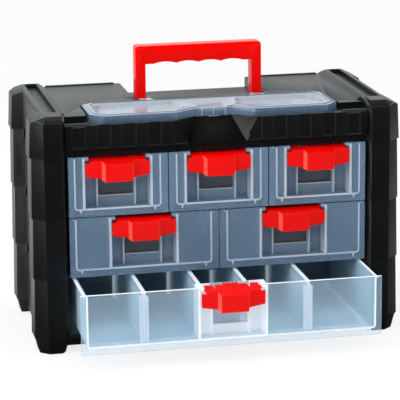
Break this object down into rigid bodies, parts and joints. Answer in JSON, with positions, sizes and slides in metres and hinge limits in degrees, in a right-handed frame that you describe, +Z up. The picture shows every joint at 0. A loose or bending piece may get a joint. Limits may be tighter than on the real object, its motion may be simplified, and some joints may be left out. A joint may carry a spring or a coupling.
{
  "type": "small parts organizer cabinet",
  "caption": "Stacked plastic cabinet with clear drawers and red latches, a wide drawer pulled out, a lidded tray on top and a folding handle.",
  "frame": {"origin": "middle of the case's footprint on the plane that the feet stand on", "axes": "+X to the right seen from the front, -Y out of the drawer fronts, +Z up"},
  "size_m": [0.404, 0.275, 0.312],
  "materials": {
    "black_plastic": "fine moulded texture",
    "red_plastic": "smooth glossy moulded surface",
    "clear_blue_plastic": "clear, slightly blue, polished"
  },
  "bodies": {
    "housing": {"base_frame": "black_plastic", "row_module_bottom": "black_plastic", "row_module_middle": "black_plastic", "row_module_top": "black_plastic", "top_module": "black_plastic", "parts_tray": "clear_blue_plastic", "handle_pivot_pins": "black_plastic", "lid_hinge_pins": "black_plastic", "module_clips": "black_plastic"},
    "drawer_wide_body": {"drawer_wide": "clear_blue_plastic", "wide_drawer_divider_1": "clear_blue_plastic", "wide_drawer_divider_2": "clear_blue_plastic", "wide_drawer_divider_3": "clear_blue_plastic", "wide_drawer_divider_4": "clear_blue_plastic"},
    "latch_wide_body": {"latch_wide": "red_plastic"},
    "drawer_middle_left_body": {"drawer_middle_left": "clear_blue_plastic"},
    "latch_middle_left_body": {"latch_middle_left": "red_plastic"},
    "drawer_middle_right_body": {"drawer_middle_right": "clear_blue_plastic"},
    "latch_middle_right_body": {"latch_middle_right": "red_plastic"},
    "drawer_top_left_body": {"drawer_top_left": "clear_blue_plastic"},
    "latch_top_left_body": {"latch_top_left": "red_plastic"},
    "drawer_top_centre_body": {"drawer_top_centre": "clear_blue_plastic"},
    "latch_top_centre_body": {"latch_top_centre": "red_plastic"},
    "drawer_top_right_body": {"drawer_top_right": "clear_blue_plastic"},
    "latch_top_right_body": {"latch_top_right": "red_plastic"},
    "lid": {"tray_lid": "clear_blue_plastic"},
    "handle": {"carry_handle": "red_plastic"}
  },
  "joints": [
    {"name": "drawer_wide_slide", "type": "slide", "parent": "housing", "child": "drawer_wide_body", "axis": [0, -1, 0], "range_m": [-0.066, 0.084]},
    {"name": "drawer_middle_left_slide", "type": "slide", "parent": "housing", "child": "drawer_middle_left_body", "axis": [0, -1, 0], "range_m": [0, 0.15]},
    {"name": "drawer_middle_right_slide", "type": "slide", "parent": "housing", "child": "drawer_middle_right_body", "axis": [0, -1, 0], "range_m": [0, 0.15]},
    {"name": "drawer_top_left_slide", "type": "slide", "parent": "housing", "child": "drawer_top_left_body", "axis": [0, -1, 0], "range_m": [0, 0.15]},
    {"name": "drawer_top_centre_slide", "type": "slide", "parent": "housing", "child": "drawer_top_centre_body", "axis": [0, -1, 0], "range_m": [0, 0.15]},
    {"name": "drawer_top_right_slide", "type": "slide", "parent": "housing", "child": "drawer_top_right_body", "axis": [0, -1, 0], "range_m": [0, 0.15]},
    {"name": "latch_wide_hinge", "type": "hinge", "parent": "drawer_wide_body", "child": "latch_wide_body", "pos_m": [0, -0.1555, 0.078], "axis": [-1, 0, 0], "range_deg": [0, 12]},
    {"name": "latch_middle_left_hinge", "type": "hinge", "parent": "drawer_middle_left_body", "child": "latch_middle_left_body", "pos_m": [-0.08213, -0.0895, 0.144], "axis": [-1, 0, 0], "range_deg": [0, 12]},
    {"name": "latch_middle_right_hinge", "type": "hinge", "parent": "drawer_middle_right_body", "child": "latch_middle_right_body", "pos_m": [0.08213, -0.0895, 0.144], "axis": [-1, 0, 0], "range_deg": [0, 12]},
    {"name": "latch_top_left_hinge", "type": "hinge", "parent": "drawer_top_left_body", "child": "latch_top_left_body", "pos_m": [-0.1095, -0.0895, 0.21], "axis": [-1, 0, 0], "range_deg": [0, 12]},
    {"name": "latch_top_centre_hinge", "type": "hinge", "parent": "drawer_top_centre_body", "child": "latch_top_centre_body", "pos_m": [0, -0.0895, 0.21], "axis": [-1, 0, 0], "range_deg": [0, 12]},
    {"name": "latch_top_right_hinge", "type": "hinge", "parent": "drawer_top_right_body", "child": "latch_top_right_body", "pos_m": [0.1095, -0.0895, 0.21], "axis": [-1, 0, 0], "range_deg": [0, 12]},
    {"name": "tray_lid_hinge", "type": "hinge", "parent": "housing", "child": "lid", "pos_m": [0, -0.0026, 0.2529], "axis": [-1, 0, 0], "range_deg": [0, 80]},
    {"name": "carry_handle_hinge", "type": "hinge", "parent": "housing", "child": "handle", "pos_m": [0, 0.011, 0.252], "axis": [-1, 0, 0], "range_deg": [0, 90]}
  ]
}
